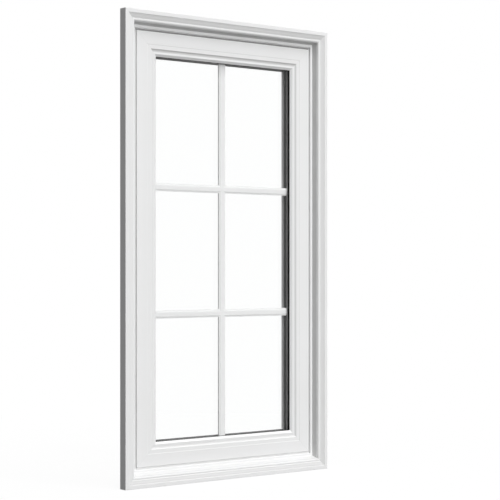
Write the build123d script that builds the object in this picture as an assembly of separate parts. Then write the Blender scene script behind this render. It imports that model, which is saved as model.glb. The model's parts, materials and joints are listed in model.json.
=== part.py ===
from build123d import *
import os

# A fixed picture window: a brickmould round a frame, and in the frame a sash with an insulated glass unit.
# Millimetres. X runs to the right as seen from outside, Y into the building and Z up.
# The origin is at mid-width, where the back of the brickmould meets the underside of the frame.
# Profiles are drawn as (inset, depth): inset runs from the brickmould's outer edge towards the middle
# of the window, and depth runs from the brickmould's front towards the room.

# Overall size, over the brickmould
overall_width = 610.0
overall_height = 1112.0

# Brickmould: the flange round the outside that laps over the wall
brickmould_width = 33.0
flange_overlap = 31.5
flange_depth = 23.0
flange_edge_radius = 0.8
band_width = 9.0
quirk_run = 0.5
band_quirk = 0.8
ramp_width = 10.3
ramp_fall = 2.3
ramp_hollow = 0.3
ramp_quirk = 0.8
roll_width = 7.3
roll_fall = 2.2
roll_lead = 2.0
roll_lift = 0.4
return_hollow = 0.4
brickmould_wall = 1.9
brickmould_web = 1.4

# Frame: the jambs, head and sill that stand in the wall's opening
nose_depth = 21.1
nose_width = 6.6
nose_edge_radius = 0.8
frame_wall = 2.0
frame_web = 1.4
frame_chamber_length = 16.0
fin_setback = 3.5
fin_thickness = 1.6
fin_clearance = 0.4
stop_thickness = 6.2
stop_edge_radius = 1.5
kerf_width = 3.2
kerf_depth = 6.5
kerf_margin = 3.0
kerf_wall = 1.6

# Sash: the inner frame round the glass
sash_gap = 5.4
sash_setback = 0.2
sash_edge_radius = 1.5
face_width = 29.8
face_quirk = 0.4
fillet_width = 9.3
cove_width = 5.8
cove_fall = 2.0
crest_width = 5.9
crest_rise = 0.6
slope_width = 5.5
slope_fall = 4.2
lip_edge = 0.8
lip_cover = 13.5
sash_wall = 2.2
sash_web = 1.5
sash_front_chamber = 12.0
sash_outer_chamber = 16.0

# Insulated glass unit: two panes held apart by a spacer
glass_thickness = 3.0
glass_clearance = 3.0
cavity = 14.0
spacer_setback = 3.5
spacer_wall = 1.0

# Rubber seals against the glass and behind the sash
exterior_gasket_thickness = 3.4
interior_gasket_thickness = 1.8
gasket_recess = 0.3
gasket_setback = 2.7
weatherstrip_thickness = 2.5
weatherstrip_base = 8.0
weatherstrip_top = 5.0
weatherstrip_margin = 2.0

# Glazing bead: the trim that holds the unit from the room side and clicks into the sash
bead_thickness = 9.0
bead_reveal = 1.0
bead_slope = 2.4
bead_round = 1.4
bead_wall = 1.6
bead_foot_depth = 2.0
bead_foot_height = 1.6
bead_foot_setback = 1.8

# Grille of contoured bars inside the unit
bar_width = 19.0
bar_flat = 10.0
bar_thickness = 6.6
bar_edge = 4.0
bar_hollow = 0.25
bars_below_thirds = 3.5

# Blocks that carry the unit in the sash and the sash in the frame
glass_block_length = 80.0
sash_block_length = 60.0
sash_block_width = 18.0
block_quarter = 0.25

# Insets and depths that follow
frame_inset = brickmould_width + nose_width
fin_face = nose_depth + fin_setback
sash_inset = frame_inset + sash_gap
sash_face = nose_depth + sash_setback
fillet_inset = sash_inset + face_width
fillet_depth = sash_face + face_quirk
cove_inset = fillet_inset + quirk_run + fillet_width
crest_inset = cove_inset + cove_width
crest_depth = fillet_depth + cove_fall
lip_inset = crest_inset + crest_width + slope_width
slope_depth = crest_depth - crest_rise
lip_back = slope_depth + slope_fall + lip_edge
pocket_inset = lip_inset - lip_cover
unit_inset = pocket_inset + glass_clearance
unit_face = lip_back + exterior_gasket_thickness
cavity_face = unit_face + glass_thickness
cavity_back = cavity_face + cavity
unit_back = cavity_back + glass_thickness
bead_face = unit_back + interior_gasket_thickness
sash_back = bead_face + bead_thickness
bead_inset = lip_inset + bead_reveal
foot_back = sash_back - bead_foot_setback
foot_face = foot_back - bead_foot_height
stop_inset = sash_inset + weatherstrip_margin + weatherstrip_base + stop_edge_radius
stop_face = sash_back + weatherstrip_thickness
frame_depth = stop_face + stop_thickness
kerf_inset = flange_overlap + kerf_margin
kerf_end = frame_depth - kerf_depth
window_middle = overall_height / 2 - flange_overlap

# The turn about Y that takes a length along the bottom to each side, and the names of the members there
SIDES = {"bottom": 0, "left": 90, "top": 180, "right": 270}
FRAME_NAMES = {
    "bottom": "frame_sill",
    "left": "frame_left_jamb",
    "top": "frame_head",
    "right": "frame_right_jamb",
}
SASH_NAMES = {
    "bottom": "sash_bottom_rail",
    "left": "sash_left_stile",
    "top": "sash_top_rail",
    "right": "sash_right_stile",
}


def y_of(depth):
    """The Y coordinate of a depth behind the brickmould's front."""
    return depth - flange_depth


def rounded(face, corner, radius):
    """The face with the corner nearest the given point rounded."""
    return fillet(face.vertices().sort_by_distance(Vector(*corner))[0], radius)


def slab(inset_from, inset_to, depth_from, depth_to):
    """A rectangle of a profile, such as a web, a strip or a block."""
    centre = Pos((inset_from + inset_to) / 2, (depth_from + depth_to) / 2)
    return centre * Rectangle(inset_to - inset_from, depth_to - depth_from)


def hollow(outline, wall, webs):
    """The profile of an extrusion with the given wall, its inside parted by webs."""
    chambers = offset(outline, -wall, kind=Kind.INTERSECTION)
    for web in webs:
        chambers -= web
    return outline - chambers


def member(profile, side):
    """A straight length of a profile along one side of the window, mitred at both ends."""
    upright = side in ("left", "right")
    length = overall_height if upright else overall_width
    reach = (overall_width if upright else overall_height) / 2
    start = Plane(origin=(length / 2, -flange_depth, 0), x_dir=(0, 0, 1), z_dir=(-1, 0, 0))
    bar = extrude(start * profile, length)
    top = profile.bounding_box().max.X
    corners = [(-length / 2, 0), (length / 2, 0), (length / 2 - top, top), (top - length / 2, top)]
    mitres = extrude(Plane.XZ * make_face(Polyline(*corners, close=True)), frame_depth, both=True)
    return Pos(0, 0, window_middle) * Rot(0, SIDES[side], 0) * Pos(0, 0, -reach) * (bar & mitres)


def brickmould_profile():
    """A flat band, a hollow ramp and a roll between two quirks, then a steep return to the frame's nose."""
    ramp_start = (band_width + quirk_run, band_quirk)
    ramp_end = (ramp_start[0] + ramp_width, band_quirk + ramp_fall)
    roll_start = (ramp_end[0] + quirk_run, ramp_end[1] + ramp_quirk)
    roll_end = (roll_start[0] + roll_width, roll_start[1] + roll_fall)
    lead_end = (roll_start[0] + roll_lead, roll_start[1] - roll_lift)
    return_end = (brickmould_width, nose_depth)
    heel = (flange_overlap, flange_depth)
    outline = make_face(
        Polyline(return_end, heel, (0, flange_depth), (0, 0), (band_width, 0), ramp_start)
        + SagittaArc(ramp_start, ramp_end, ramp_hollow)
        + Polyline(ramp_end, roll_start, lead_end)
        + TangentArc(lead_end, roll_end, tangent=(roll_lead, -roll_lift))
        + SagittaArc(roll_end, return_end, return_hollow)
    )
    outline = rounded(outline, (0, 0), flange_edge_radius)
    webs = [
        slab(inset - brickmould_web / 2, inset + brickmould_web / 2, 0, flange_depth)
        for inset in (band_width, roll_start[0])
    ]
    return hollow(outline, brickmould_wall, webs)


def frame_profile():
    """A jamb box with a nose and a fin at the front, and at the back the stop and a kerf for a lining."""
    outline = make_face(
        Polyline(
            (flange_overlap, flange_depth),
            (brickmould_width, nose_depth),
            (frame_inset, nose_depth),
            (frame_inset, stop_face),
            (stop_inset, stop_face),
            (stop_inset, frame_depth),
            (flange_overlap, frame_depth),
            close=True,
        )
    )
    outline = rounded(outline, (frame_inset, nose_depth), nose_edge_radius)
    outline = rounded(outline, (stop_inset, frame_depth), stop_edge_radius)
    outline = rounded(outline, (stop_inset, stop_face), stop_edge_radius)
    webs = [
        slab(flange_overlap, frame_inset, depth, depth + frame_web)
        for depth in (flange_depth + frame_chamber_length, flange_depth + 2 * frame_chamber_length)
    ]
    webs.append(slab(frame_inset - frame_wall, frame_inset, stop_face, frame_depth))
    webs.append(
        slab(kerf_inset - kerf_wall, kerf_inset + kerf_width + kerf_wall, kerf_end - kerf_wall, frame_depth)
    )
    fin = slab(frame_inset, sash_inset - fin_clearance, fin_face, fin_face + fin_thickness)
    kerf = slab(kerf_inset, kerf_inset + kerf_width, kerf_end, frame_depth)
    return hollow(outline, frame_wall, webs) + fin - kerf


def sash_profile():
    """A hollow body with a flat face, a quirk and a cove, and a solid lip that slopes to the glass."""
    fillet_start = (fillet_inset + quirk_run, fillet_depth)
    cove_start = (cove_inset, fillet_depth)
    crest = (crest_inset, crest_depth)
    slope_start = (lip_inset - slope_width, slope_depth)
    slope_end = (lip_inset, slope_depth + slope_fall)
    outline = make_face(
        Polyline((sash_inset, sash_face), (fillet_inset, sash_face), fillet_start, cove_start)
        + TangentArc(crest, cove_start, tangent=(-crest_width, crest_rise))
        + Polyline(
            crest,
            slope_start,
            slope_end,
            (lip_inset, lip_back),
            (pocket_inset, lip_back),
            (pocket_inset, sash_back),
            (sash_inset, sash_back),
            (sash_inset, sash_face),
        )
    )
    outline = rounded(outline, (sash_inset, sash_face), sash_edge_radius)
    outline = rounded(outline, (sash_inset, sash_back), sash_edge_radius)
    cross_web = slab(
        sash_inset,
        pocket_inset,
        sash_face + sash_wall + sash_front_chamber,
        sash_face + sash_wall + sash_front_chamber + sash_web,
    )
    deep_web = slab(
        sash_inset + sash_wall + sash_outer_chamber,
        sash_inset + sash_wall + sash_outer_chamber + sash_web,
        sash_face,
        sash_back,
    )
    groove = slab(pocket_inset - bead_foot_depth, pocket_inset, foot_face, foot_back)
    groove_wall = slab(
        pocket_inset - bead_foot_depth - sash_wall, pocket_inset, foot_face - sash_wall, sash_back
    )
    lip = slab(pocket_inset, lip_inset, sash_face, lip_back)
    body = hollow(outline - lip, sash_wall, [cross_web, deep_web, groove_wall])
    return body + (outline & lip) - groove


def glazing_bead_profile():
    """A hollow trim that shows a little past the sash's lip, with a foot that sits in the sash's groove."""
    sight_edge = (bead_inset, sash_back - bead_slope)
    outline = make_face(
        Polyline(
            (pocket_inset, bead_face),
            (bead_inset, bead_face),
            sight_edge,
            (pocket_inset, sash_back),
            close=True,
        )
    )
    outline = rounded(outline, sight_edge, bead_round)
    foot = slab(pocket_inset - bead_foot_depth, pocket_inset, foot_face, foot_back)
    return hollow(outline, bead_wall, []) + foot


def spacer_profile():
    """A thin box between the panes, its inner wall in line with the sash's lip."""
    outline = slab(unit_inset + spacer_setback, lip_inset, cavity_face, cavity_back)
    return hollow(outline, spacer_wall, [])


def gasket_profile(depth_from, depth_to):
    """A flat strip of rubber against a pane, just inside the sight edge."""
    return slab(unit_inset + gasket_setback, lip_inset - gasket_recess, depth_from, depth_to)


def weatherstrip_profile():
    """A tapered rubber strip on the frame's stop that the sash presses on."""
    base = sash_inset + weatherstrip_margin
    taper = (weatherstrip_base - weatherstrip_top) / 2
    return make_face(
        Polyline(
            (base, stop_face),
            (base + taper, stop_face - weatherstrip_thickness),
            (base + taper + weatherstrip_top, stop_face - weatherstrip_thickness),
            (base + weatherstrip_base, stop_face),
            close=True,
        )
    )


def pane(depth):
    """A sheet of glass with its outer face at the given depth."""
    width = overall_width - 2 * unit_inset
    height = overall_height - 2 * unit_inset
    return Pos(0, y_of(depth + glass_thickness / 2), window_middle) * Box(width, glass_thickness, height)


def blocks(length, width, inset_from, inset_to, depth):
    """A pair of blocks along the bottom, at the quarter points of the glass."""
    height = inset_to - inset_from
    low = inset_from - flange_overlap
    across = (overall_width - 2 * unit_inset) * block_quarter
    block = Box(length, width, height)
    places = [Pos(x, y_of(depth), low + height / 2) for x in (-across, across)]
    return Compound(children=[place * block for place in places])


def bar_profile():
    """A bar's section, the same to both sides: a flat middle and hollowed flanks down to a thin edge."""
    half = [
        (-bar_width / 2, bar_edge / 2),
        (-bar_flat / 2, bar_thickness / 2),
        (bar_flat / 2, bar_thickness / 2),
        (bar_width / 2, bar_edge / 2),
    ]
    upper = make_face(
        SagittaArc(half[0], half[1], -bar_hollow)
        + Line(half[1], half[2])
        + SagittaArc(half[2], half[3], -bar_hollow)
        + Polyline(half[3], (bar_width / 2, 0), (-bar_width / 2, 0), half[0])
    )
    return upper + mirror(upper, about=Plane.XZ)


def arm_outline(direction, height):
    """The front view of a cross bar's arm: straight to the spacer, tapered where it enters the upright."""
    end = direction * (overall_width / 2 - lip_inset)
    root = direction * bar_width / 2
    tip = direction * bar_flat / 2
    corners = [
        (end, bar_width / 2),
        (root, bar_width / 2),
        (tip, bar_flat / 2),
        (tip, -bar_flat / 2),
        (root, -bar_width / 2),
        (end, -bar_width / 2),
    ]
    middle = Pos(0, y_of(cavity_face + cavity / 2), height)
    return middle * extrude(Plane.XZ * make_face(Polyline(*corners, close=True)), cavity / 2, both=True)


def grille():
    """The upright bar, notched for the cross bars, and the arms that fit its notches."""
    opening = overall_height - 2 * lip_inset
    middle = Pos(0, y_of(cavity_face + cavity / 2), window_middle)
    upright_start = Plane(origin=(0, 0, -opening / 2), x_dir=(1, 0, 0), z_dir=(0, 0, 1))
    upright = middle * extrude(upright_start * bar_profile(), opening)
    bars = {}
    for level, sign in (("upper", 1), ("lower", -1)):
        height = window_middle + sign * opening / 6 - bars_below_thirds
        start = Plane(origin=(overall_width / 2, 0, 0), x_dir=(0, 0, 1), z_dir=(-1, 0, 0))
        level_middle = Pos(0, y_of(cavity_face + cavity / 2), height)
        cross = level_middle * extrude(start * bar_profile(), overall_width)
        for hand, direction in (("left", -1), ("right", 1)):
            outline = arm_outline(direction, height)
            bars[f"grille_{level}_{hand}_bar"] = cross & outline
            upright -= outline
    bars["grille_upright_bar"] = upright
    return bars


def side_names(kind):
    """Names such as spacer_left for the four lengths of one kind."""
    return {side: f"{kind}_{side}" for side in SIDES}


def build():
    """Every piece of the window by name."""
    runs = [
        (side_names("brickmould"), brickmould_profile()),
        (FRAME_NAMES, frame_profile()),
        (SASH_NAMES, sash_profile()),
        (side_names("glazing_bead"), glazing_bead_profile()),
        (side_names("spacer"), spacer_profile()),
        (side_names("exterior_gasket"), gasket_profile(lip_back, unit_face)),
        (side_names("interior_gasket"), gasket_profile(unit_back, bead_face)),
        (side_names("weatherstrip"), weatherstrip_profile()),
    ]
    pieces = {names[side]: member(profile, side) for names, profile in runs for side in SIDES}
    pieces["exterior_pane"] = pane(unit_face)
    pieces["interior_pane"] = pane(cavity_back)
    pieces.update(grille())
    unit_middle = (unit_face + unit_back) / 2
    pieces["glass_setting_blocks"] = blocks(
        glass_block_length, unit_back - unit_face, pocket_inset, unit_inset, unit_middle
    )
    pieces["sash_setting_blocks"] = blocks(
        sash_block_length, sash_block_width, frame_inset, sash_inset, unit_middle
    )
    return pieces


os.makedirs("parts", exist_ok=True)
for name, piece in build().items():
    export_step(piece, f"parts/{name}.step")
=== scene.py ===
import json
import math

import bpy
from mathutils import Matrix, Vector


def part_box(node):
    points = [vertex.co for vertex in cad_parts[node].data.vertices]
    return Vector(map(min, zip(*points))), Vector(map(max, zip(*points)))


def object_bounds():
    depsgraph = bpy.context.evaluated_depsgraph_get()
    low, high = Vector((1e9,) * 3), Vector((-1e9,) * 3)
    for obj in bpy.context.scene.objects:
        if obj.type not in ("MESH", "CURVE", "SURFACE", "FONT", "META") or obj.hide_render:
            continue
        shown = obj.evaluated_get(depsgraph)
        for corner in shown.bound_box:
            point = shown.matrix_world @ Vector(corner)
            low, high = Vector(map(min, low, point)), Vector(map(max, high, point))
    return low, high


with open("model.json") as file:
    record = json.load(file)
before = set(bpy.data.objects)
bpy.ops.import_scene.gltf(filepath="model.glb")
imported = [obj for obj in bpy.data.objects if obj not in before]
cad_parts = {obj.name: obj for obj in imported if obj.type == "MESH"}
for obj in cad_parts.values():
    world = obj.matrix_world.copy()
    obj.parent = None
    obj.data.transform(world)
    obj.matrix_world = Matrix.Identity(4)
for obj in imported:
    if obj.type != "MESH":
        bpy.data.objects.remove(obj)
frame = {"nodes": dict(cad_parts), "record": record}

# The looks of a fixed picture window: moulded white PVC, coated grille bars, rubber seals and clear glass.
# Metres, in the same frame as the solids: X to the right seen from outside, Y into the building, Z up.

MM = 0.001
cad_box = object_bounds()
low, high = (Vector(corner) for corner in cad_box)
window_middle = (low + high) / 2
half_width = (high.x - low.x) / 2
half_height = (high.z - low.z) / 2

# The camera, level and to the left of the window, outside. The sensor's width is in millimetres.
camera_place = Vector((-2.1479, -2.8951, 0.4833))
camera_turn = math.radians(37.5)
focal_pixels = 1477.9
image_pixels = 500.0
sensor_width = 36.0
horizon_drop_pixels = 16.7

# Hollows of the mouldings and the sash, each from one inset to another, measured from the window's edge
ramp = (9.3 * MM, 19.4 * MM)
ramp_brow = (9.0 * MM, 13.5 * MM)
roll_quirk = (16.0 * MM, 20.2 * MM)
roll_back = (25.8 * MM, 29.0 * MM)
moulding_return = (28.2 * MM, 33.5 * MM)
return_front = (28.2 * MM, 32.2 * MM)
cove = (84.6 * MM, 90.4 * MM)
cove_and_crest = (84.0 * MM, 92.4 * MM)

# The share of painted shade, with some dust, in the hollows of each member, chosen by comparison with the
# photo, and its soft edge
hollow_shade_and_dust = {
    "brickmould_left": {ramp: 0.06, moulding_return: 0.23},
    "brickmould_right": {ramp: 0.2, moulding_return: 0.31},
    "brickmould_top": {ramp: 0.21, roll_quirk: 0.13, moulding_return: 0.15, return_front: 0.27},
    "brickmould_bottom": {ramp: 0.18, ramp_brow: 0.12, roll_back: 0.3, moulding_return: 0.22},
    "sash_left_stile": {cove: 0.05},
    "sash_right_stile": {cove: 0.22},
    "sash_top_rail": {cove_and_crest: 0.32},
    "sash_bottom_rail": {cove: 0.1},
}
hollow_shade_fade = 1.0 * MM

# The weld seam at a mitre: how far from its line it starts to fade and ends, and its share of grey
seam_edge = (0.15 * MM, 0.6 * MM)
seam_share = 0.25

# The gap between the frame's nose and the sash, and the edges of the shade painted on the fin in that gap as
# a seal.
# Its side is measured from the nose's inner end, its front and back from the nose's face.
sash_gap = 5.4 * MM
gap_shade_side = (1.0 * MM, 1.4 * MM)
gap_shade_front = (0.7 * MM, 1.2 * MM)
gap_shade_back = (9.0 * MM, 10.0 * MM)

# The edges of the glazing bead's lip and of the spacer's butyl, and the blend between the spacer's halves
lip_edge = (0.7 * MM, 1.1 * MM)
butyl_edge = (0.7 * MM, 1.1 * MM)
butyl_raggedness = 0.6 * MM
spacer_blend = 1.0 * MM

# Painted shade and light chosen by comparison with the photo: the gap's shade painted as a seal by member,
# and the painted shade on the bead's lip and painted light on the spacer's outer half by the member's run,
# darker on level members
gap_painted_shade = {"frame_sill": 0.85, "frame_left_jamb": 0.65, "frame_head": 0.3, "frame_right_jamb": 0.6}
lip_painted_shade = {"upright": 0.7, "level": 0.05}
spacer_painted_light = {"upright": 0.26, "level": 0.06}

# Most of a noise lies in this range
noise_range = (0.3, 0.7)

# How strongly surfaces mirror, as the shader's specular level
usual_sheen = 0.5
pvc_sheen = 0.2
dull_sheen = 0.1
bead_sheen = 0.08

# The staging: a floor that shows a shadow near the window, and the light that comes from all round
floor_size = 60.0
shadow_reach = (0.4, 1.6)
shadowless_share = (0.95, 1.0)
fill_light = 0.236


class Nodes:
    """A short way to add shader nodes to a node tree and to link them."""

    def __init__(self, tree):
        self.tree = tree
        tree.nodes.clear()

    def add(self, kind, inputs=None, **settings):
        node = self.tree.nodes.new(kind)
        for name, value in settings.items():
            setattr(node, name, value)
        for name, value in (inputs or {}).items():
            self.feed(node.inputs[name], value)
        return node

    def feed(self, socket, value):
        if isinstance(value, bpy.types.NodeSocket):
            self.tree.links.new(value, socket)
        else:
            socket.default_value = value

    def math(self, operation, *values):
        return self.add("ShaderNodeMath", dict(enumerate(values)), operation=operation).outputs[0]

    def remap(self, value, from_low, from_high, to_low=0.0, to_high=1.0):
        """The value's range stretched to another range, and held at its ends."""
        source = {"Value": value, "From Min": from_low, "From Max": from_high}
        inputs = {**source, "To Min": to_low, "To Max": to_high}
        return self.add("ShaderNodeMapRange", inputs, interpolation_type="SMOOTHSTEP").outputs[0]

    def spread(self, noise, least, most):
        """A noise with its usual range stretched between two other values."""
        return self.remap(noise, *noise_range, least, most)

    def noise(self, vector, scale, detail=3.0, roughness=0.5):
        inputs = {"Vector": vector, "Scale": scale, "Detail": detail, "Roughness": roughness}
        return self.add("ShaderNodeTexNoise", inputs).outputs["Fac"]

    def mix(self, factor, colour_a, colour_b):
        """Two colours mixed. The node has other sockets of the same names, so these go by number."""
        inputs = {0: factor, 6: colour_a, 7: colour_b}
        return self.add("ShaderNodeMix", inputs, data_type="RGBA").outputs[2]

    def mix_shaders(self, factor, shader_a, shader_b):
        return self.add("ShaderNodeMixShader", {0: factor, 1: shader_a, 2: shader_b}).outputs[0]

    def bump(self, height, strength, distance, normal=None):
        inputs = {"Height": height, "Strength": strength, "Distance": distance}
        if normal is not None:
            inputs["Normal"] = normal
        return self.add("ShaderNodeBump", inputs).outputs[0]

    def place(self):
        """A point in the object's own coordinates, in metres, which for the solids is the window's frame."""
        return self.add("ShaderNodeTexCoord").outputs["Object"]

    def axis(self, place, name):
        return self.add("ShaderNodeSeparateXYZ", {"Vector": place}).outputs[name]

    def cover(self, shader):
        """Makes a shader the material's surface."""
        self.add("ShaderNodeOutputMaterial", {"Surface": shader})


def new_material(name):
    material = bpy.data.materials.new(name)
    material.use_nodes = True
    return material, Nodes(material.node_tree)


def finished(material, nodes, colour, roughness, normal, sheen):
    """The material with a plastic or painted surface of the given colour, roughness and sheen."""
    surface = {"Base Color": colour, "Roughness": roughness, "Normal": normal, "Specular IOR Level": sheen}
    nodes.cover(nodes.add("ShaderNodeBsdfPrincipled", surface).outputs[0])
    return material


def grey(value, tint=(1.0, 1.0, 1.0)):
    return (value * tint[0], value * tint[1], value * tint[2], 1.0)


def run_of(name):
    """Whether a piece stands upright or lies level."""
    first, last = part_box(name)
    return "upright" if last.z - first.z > last.x - first.x else "level"


def along_member(nodes, place, run):
    """Coordinates drawn out along an upright or a level member, so that noise makes fine lines along it."""
    stretch = 0.012
    scale = (1.0, 1.0, stretch) if run == "upright" else (stretch, 1.0, 1.0)
    return nodes.add("ShaderNodeMapping", {"Vector": place, "Scale": scale}).outputs[0]


def edge_distances(nodes, place):
    """How far a point lies inside the window's nearest upright edge and its nearest level edge, in metres."""
    sideways = nodes.math("ABSOLUTE", nodes.math("SUBTRACT", nodes.axis(place, "X"), window_middle.x))
    upwards = nodes.math("ABSOLUTE", nodes.math("SUBTRACT", nodes.axis(place, "Z"), window_middle.z))
    return nodes.math("SUBTRACT", half_width, sideways), nodes.math("SUBTRACT", half_height, upwards)


def inset_at(nodes, place):
    """How far a point lies inside the window's nearest edge, in metres."""
    return nodes.math("MINIMUM", *edge_distances(nodes, place))


def depth_behind(nodes, place, face):
    """How far a point lies behind a face, in metres."""
    return nodes.math("SUBTRACT", nodes.axis(place, "Y"), face)


def weld_seam(nodes, place):
    """1 on the line where two members meet at a corner's mitre, else 0."""
    from_upright, from_level = edge_distances(nodes, place)
    difference = nodes.math("ABSOLUTE", nodes.math("SUBTRACT", from_upright, from_level))
    from_mitre = nodes.math("MULTIPLY", difference, math.sqrt(0.5))
    return nodes.remap(from_mitre, *seam_edge, 1.0, 0.0)


def painted_gap_shade_mask(nodes, place):
    """1 on the frame's fin in the gap round the sash, where the gap's shade is painted on as a seal, else 0.
    """
    nose_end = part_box("sash_left_stile")[0].x - low.x - sash_gap
    past_nose = nodes.math("SUBTRACT", inset_at(nodes, place), nose_end)
    depth = depth_behind(nodes, place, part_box("frame_left_jamb")[0].y)
    inside = nodes.remap(past_nose, *gap_shade_side)
    behind = nodes.remap(depth, *gap_shade_front)
    before = nodes.remap(depth, *gap_shade_back, 1.0, 0.0)
    return nodes.math("MULTIPLY", inside, nodes.math("MULTIPLY", behind, before))


def bead_lip(nodes, place):
    """1 on the front of the glazing bead, where a soft lip presses on the tape and shade is painted on level
    beads, else 0.
    """
    depth = depth_behind(nodes, place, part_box("glazing_bead_left")[0].y)
    return nodes.remap(depth, *lip_edge, 1.0, 0.0)


def painted_hollow_shade(nodes, place, name):
    """The share of painted shade, with some dust, at each point of a member, which is 0 outside its shaded
    hollows.
    """
    inset = inset_at(nodes, place)
    painted_shade = 0.0
    for (start, end), share in hollow_shade_and_dust.get(name, {}).items():
        rise = nodes.remap(inset, start, start + hollow_shade_fade, 0.0, share)
        fall = nodes.remap(inset, end - hollow_shade_fade, end, 1.0, 0.0)
        painted_shade = nodes.math("MULTIPLY_ADD", rise, fall, painted_shade)
    return painted_shade


def white_pvc(name, run, shade_mask=None, mask_shade=0.0, sheen=pvc_sheen):
    """Satin white PVC with faint lines along the member, weld seams, painted shade with some dust in the
    hollows, and perhaps painted shade on a seal or lip.
    """
    warm_white = grey(0.835, (1.0, 1.0, 0.995))
    cool_white = grey(0.865, (0.995, 1.0, 1.005))
    seam_grey = grey(0.62)
    # The grey of the painted shade, with some dust, in the hollows
    hollow_shade_grey = grey(0.3, (1.0, 0.99, 0.97))
    cloud_share = 0.5
    line_share = 0.6
    grain_share = 0.4
    material, nodes = new_material(f"{name}_pvc")
    place = nodes.place()
    lines = nodes.noise(along_member(nodes, place, run), scale=900.0, detail=4.0, roughness=0.6)
    cloud = nodes.noise(place, scale=9.0)
    grain = nodes.noise(place, scale=2600.0, detail=2.0)
    seam = weld_seam(nodes, place)
    colour = nodes.mix(cloud, warm_white, cool_white)
    colour = nodes.mix(nodes.math("MULTIPLY", seam, seam_share), colour, seam_grey)
    # Painted shade, with some dust, in the hollows, set per member
    colour = nodes.mix(painted_hollow_shade(nodes, place, name), colour, hollow_shade_grey)
    # Painted shade on the frame's fin in the sash gap, or on the glazing bead's lip
    if shade_mask is not None:
        colour = nodes.mix(shade_mask(nodes, place), colour, grey(mask_shade))
    wear = nodes.math("ADD", lines, nodes.math("MULTIPLY", cloud, cloud_share))
    roughness = nodes.remap(wear, from_low=0.4, from_high=1.1, to_low=0.3, to_high=0.42)
    line_height = nodes.math("MULTIPLY", lines, line_share)
    grain_height = nodes.math("MULTIPLY", grain, grain_share)
    seam_height = nodes.math("SUBTRACT", 1.0, seam)
    fine = nodes.bump(nodes.math("ADD", line_height, grain_height), strength=0.12, distance=0.05 * MM)
    groove = nodes.bump(seam_height, strength=0.35, distance=0.2 * MM, normal=fine)
    return finished(material, nodes, colour, roughness, groove, sheen)


def coated_metal():
    """White baked enamel on the rolled grille bars, with a little orange peel."""
    material, nodes = new_material("coated_grille")
    place = nodes.place()
    peel = nodes.noise(place, scale=650.0, detail=2.0)
    cloud = nodes.noise(place, scale=14.0)
    colour = nodes.mix(cloud, grey(0.85), grey(0.88))
    roughness = nodes.spread(peel, least=0.28, most=0.4)
    normal = nodes.bump(peel, strength=0.08, distance=0.1 * MM)
    return finished(material, nodes, colour, roughness, normal, usual_sheen)


def black_rubber():
    """Matte black extruded rubber with a fine grain and a slight bloom."""
    material, nodes = new_material("black_rubber")
    place = nodes.place()
    grain = nodes.noise(place, scale=1800.0)
    bloom = nodes.noise(place, scale=60.0)
    colour = nodes.mix(bloom, grey(0.018), grey(0.035))
    roughness = nodes.spread(grain, least=0.5, most=0.7)
    normal = nodes.bump(grain, strength=0.2, distance=0.05 * MM)
    return finished(material, nodes, colour, roughness, normal, dull_sheen)


def spacer_metal(run):
    """Dark grey spacer with a black line of butyl by each pane, and a painted highlight on its outer half,
    lighter on upright sides than on level ones.
    """
    brushing_gain = 1.2
    # The outer half's painted highlight, lighter on upright sides and darker on level ones
    outer_painted_light = grey(spacer_painted_light[run])
    brushed_painted_light = grey(spacer_painted_light[run] * brushing_gain)
    inner_grey = grey(0.03)
    butyl_black = grey(0.012)
    material, nodes = new_material(f"spacer_{run}")
    place = nodes.place()
    first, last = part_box("spacer_left")
    width = last.y - first.y
    depth = depth_behind(nodes, place, first.y)
    from_pane = nodes.math("MINIMUM", depth, nodes.math("SUBTRACT", width, depth))
    ragged = nodes.math("MULTIPLY", nodes.noise(place, scale=90.0), butyl_raggedness)
    butyl = nodes.remap(nodes.math("ADD", from_pane, ragged), *butyl_edge, 1.0, 0.0)
    inner_half = nodes.remap(depth, width / 2 - spacer_blend, width / 2 + spacer_blend)
    brushing = nodes.noise(place, scale=700.0)
    colour = nodes.mix(brushing, outer_painted_light, brushed_painted_light)
    colour = nodes.mix(inner_half, colour, inner_grey)
    colour = nodes.mix(butyl, colour, butyl_black)
    roughness = nodes.spread(brushing, least=0.42, most=0.55)
    normal = nodes.bump(brushing, strength=0.1, distance=0.05 * MM)
    return finished(material, nodes, colour, roughness, normal, dull_sheen)


def glazing_tape():
    """Light grey foam tape between the inner pane and the bead."""
    material, nodes = new_material("glazing_tape")
    cells = nodes.noise(nodes.place(), scale=1500.0)
    colour = nodes.mix(cells, grey(0.5), grey(0.62))
    roughness = nodes.spread(cells, least=0.6, most=0.8)
    normal = nodes.bump(cells, strength=0.3, distance=0.08 * MM)
    return finished(material, nodes, colour, roughness, normal, dull_sheen)


def block_plastic():
    """Dull black plastic of the setting blocks, with moulding grain."""
    material, nodes = new_material("block_plastic")
    grain = nodes.noise(nodes.place(), scale=900.0)
    colour = nodes.mix(grain, grey(0.03), grey(0.06))
    roughness = nodes.spread(grain, least=0.5, most=0.75)
    normal = nodes.bump(grain, strength=0.25, distance=0.1 * MM)
    return finished(material, nodes, colour, roughness, normal, usual_sheen)


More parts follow.
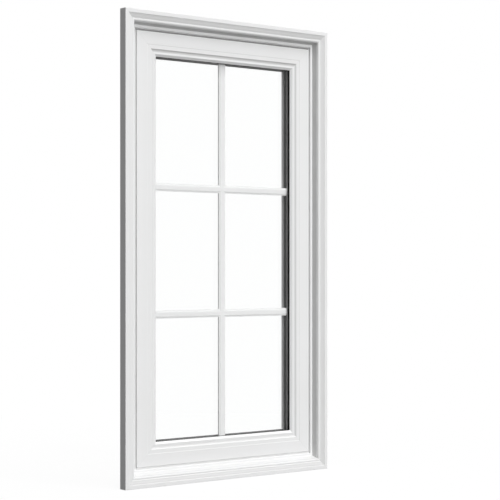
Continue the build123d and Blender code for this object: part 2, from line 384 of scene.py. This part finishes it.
def clear_glass():
    """Clear float glass that lets light through, with a mirror sheen that grows towards grazing angles."""
    greenish = (0.9965, 0.998, 0.9975, 1.0)
    clearest = (0.998, 0.9995, 0.999, 1.0)
    straight_sheen = 0.015
    grazing_sheen = 0.95
    grazing_power = 5.0
    material, nodes = new_material("clear_glass")
    place = nodes.place()
    roller_wave = nodes.bump(nodes.noise(place, scale=7.0, detail=1.0), strength=0.02, distance=0.2 * MM)
    film = nodes.noise(place, scale=30.0, detail=4.0)
    facing = nodes.add("ShaderNodeLayerWeight", {"Blend": 0.5}).outputs["Facing"]
    grazing = nodes.math("POWER", facing, grazing_power)
    sheen = nodes.math("MULTIPLY_ADD", grazing, grazing_sheen, straight_sheen)
    tint = nodes.mix(film, greenish, clearest)
    clear = nodes.add("ShaderNodeBsdfTransparent", {"Color": tint}).outputs[0]
    roughness = nodes.remap(film, from_low=0.3, from_high=0.8, to_low=0.0, to_high=0.03)
    polish = {"Color": grey(1.0), "Roughness": roughness, "Normal": roller_wave}
    mirror = nodes.add("ShaderNodeBsdfGlossy", polish).outputs[0]
    nodes.cover(nodes.mix_shaders(sheen, clear, mirror))
    return material


def dress():
    """Every solid gets the material of its slot, and PVC the one that suits the member and its run."""
    by_slot = {
        "coated_grille": coated_metal(),
        "black_rubber": black_rubber(),
        "glazing_tape": glazing_tape(),
        "block_plastic": block_plastic(),
        "clear_glass": clear_glass(),
    }
    spacers = {run: spacer_metal(run) for run in spacer_painted_light}
    slots = {part["node"]: part["material_slot"] for part in frame["record"]["subparts"]}
    for name, piece in frame["nodes"].items():
        run = run_of(name)
        if slots[name] in by_slot:
            material = by_slot[slots[name]]
        elif slots[name] == "spacer_metal":
            material = spacers[run]
        # The frame's fin gets the gap's shade painted on by member
        elif name in gap_painted_shade:
            material = white_pvc(name, run, painted_gap_shade_mask, gap_painted_shade[name])
        # The bead's lip is grey on upright beads and carries painted shade, near black, on level ones
        elif name.startswith("glazing_bead"):
            material = white_pvc(name, run, bead_lip, lip_painted_shade[run], bead_sheen)
        else:
            material = white_pvc(name, run)
        piece.data.materials.clear()
        piece.data.materials.append(material)


def seen_as_white(nodes):
    """1 for what is seen straight, by a mirror or through glass, and 0 for light that falls on the window."""
    path = nodes.add("ShaderNodeLightPath").outputs
    seen = nodes.math("MAXIMUM", path["Is Camera Ray"], path["Is Glossy Ray"])
    return nodes.math("MAXIMUM", seen, path["Is Transmission Ray"])


def studio_floor():
    """A white floor under the window that keeps a faint shadow near its foot."""
    bounce_grey = grey(0.06)
    seen_white = grey(0.98)
    floor_place = (window_middle.x, window_middle.y, low.z)
    bpy.ops.mesh.primitive_plane_add(size=floor_size, location=floor_place)
    floor = bpy.context.object
    floor.name = "studio_floor"
    material, nodes = new_material("studio_floor")
    seen = seen_as_white(nodes)
    shade = nodes.mix(seen, bounce_grey, seen_white)
    lit = nodes.add("ShaderNodeBsdfDiffuse", {"Color": shade}).outputs[0]
    white = nodes.add("ShaderNodeEmission", {"Color": grey(1.0), "Strength": 1.0}).outputs[0]
    away = nodes.add("ShaderNodeVectorMath", {0: nodes.place()}, operation="LENGTH").outputs["Value"]
    shadowless = nodes.remap(away, *shadow_reach, *shadowless_share)
    nodes.cover(nodes.mix_shaders(nodes.math("MULTIPLY", seen, shadowless), lit, white))
    floor.data.materials.append(material)


def studio_world():
    """A dim even surround for the light on the window, and plain white where it is seen."""
    world = bpy.data.worlds.new("studio")
    bpy.context.scene.world = world
    world.use_nodes = True
    nodes = Nodes(world.node_tree)
    strength = nodes.remap(seen_as_white(nodes), 0.0, 1.0, fill_light, 1.0)
    backdrop = nodes.add("ShaderNodeBackground", {"Color": grey(1.0), "Strength": strength})
    nodes.add("ShaderNodeOutputWorld", {"Surface": backdrop.outputs[0]})


def softbox(name, direction, distance, size, power):
    """A square area lamp that faces the middle of the window and leaves no mirror image in its glass."""
    lamp = bpy.data.lights.new(name, "AREA")
    lamp.size = size
    lamp.energy = power
    lamp_object = bpy.data.objects.new(name, lamp)
    aim = Vector(direction).normalized()
    lamp_object.location = window_middle + aim * distance
    lamp_object.rotation_euler = aim.to_track_quat("Z", "Y").to_euler()
    lamp_object.visible_glossy = False
    bpy.context.scene.collection.objects.link(lamp_object)


def photo_camera():
    """A level camera whose view is shifted so that the horizon lies below the middle of the picture."""
    lens = bpy.data.cameras.new("photo_camera")
    lens.sensor_width = sensor_width
    lens.lens = focal_pixels / image_pixels * sensor_width
    lens.shift_y = horizon_drop_pixels / image_pixels
    camera = bpy.data.objects.new("photo_camera", lens)
    camera.location = camera_place
    camera.rotation_euler = (math.pi / 2, 0.0, -camera_turn)
    bpy.context.scene.collection.objects.link(camera)
    bpy.context.scene.camera = camera


dress()
studio_floor()
studio_world()
softbox("key_lamp", direction=(0.34, -0.92, 0.2), distance=10.0, size=1.75, power=345.0)
softbox("front_lamp", direction=(0.1, -0.99, 0.12), distance=10.0, size=1.75, power=142.0)
softbox("top_softbox", direction=(0.0, -0.3, 0.95), distance=25.0, size=16.25, power=2625.0)
softbox("front_top_softbox", direction=(0.0, -0.66, 0.75), distance=25.0, size=16.25, power=2290.0)
softbox("back_lamp", direction=(0.76, 0.65, 0.0), distance=10.0, size=0.6, power=750.0)
photo_camera()
bpy.context.scene.view_settings.view_transform = "Standard"
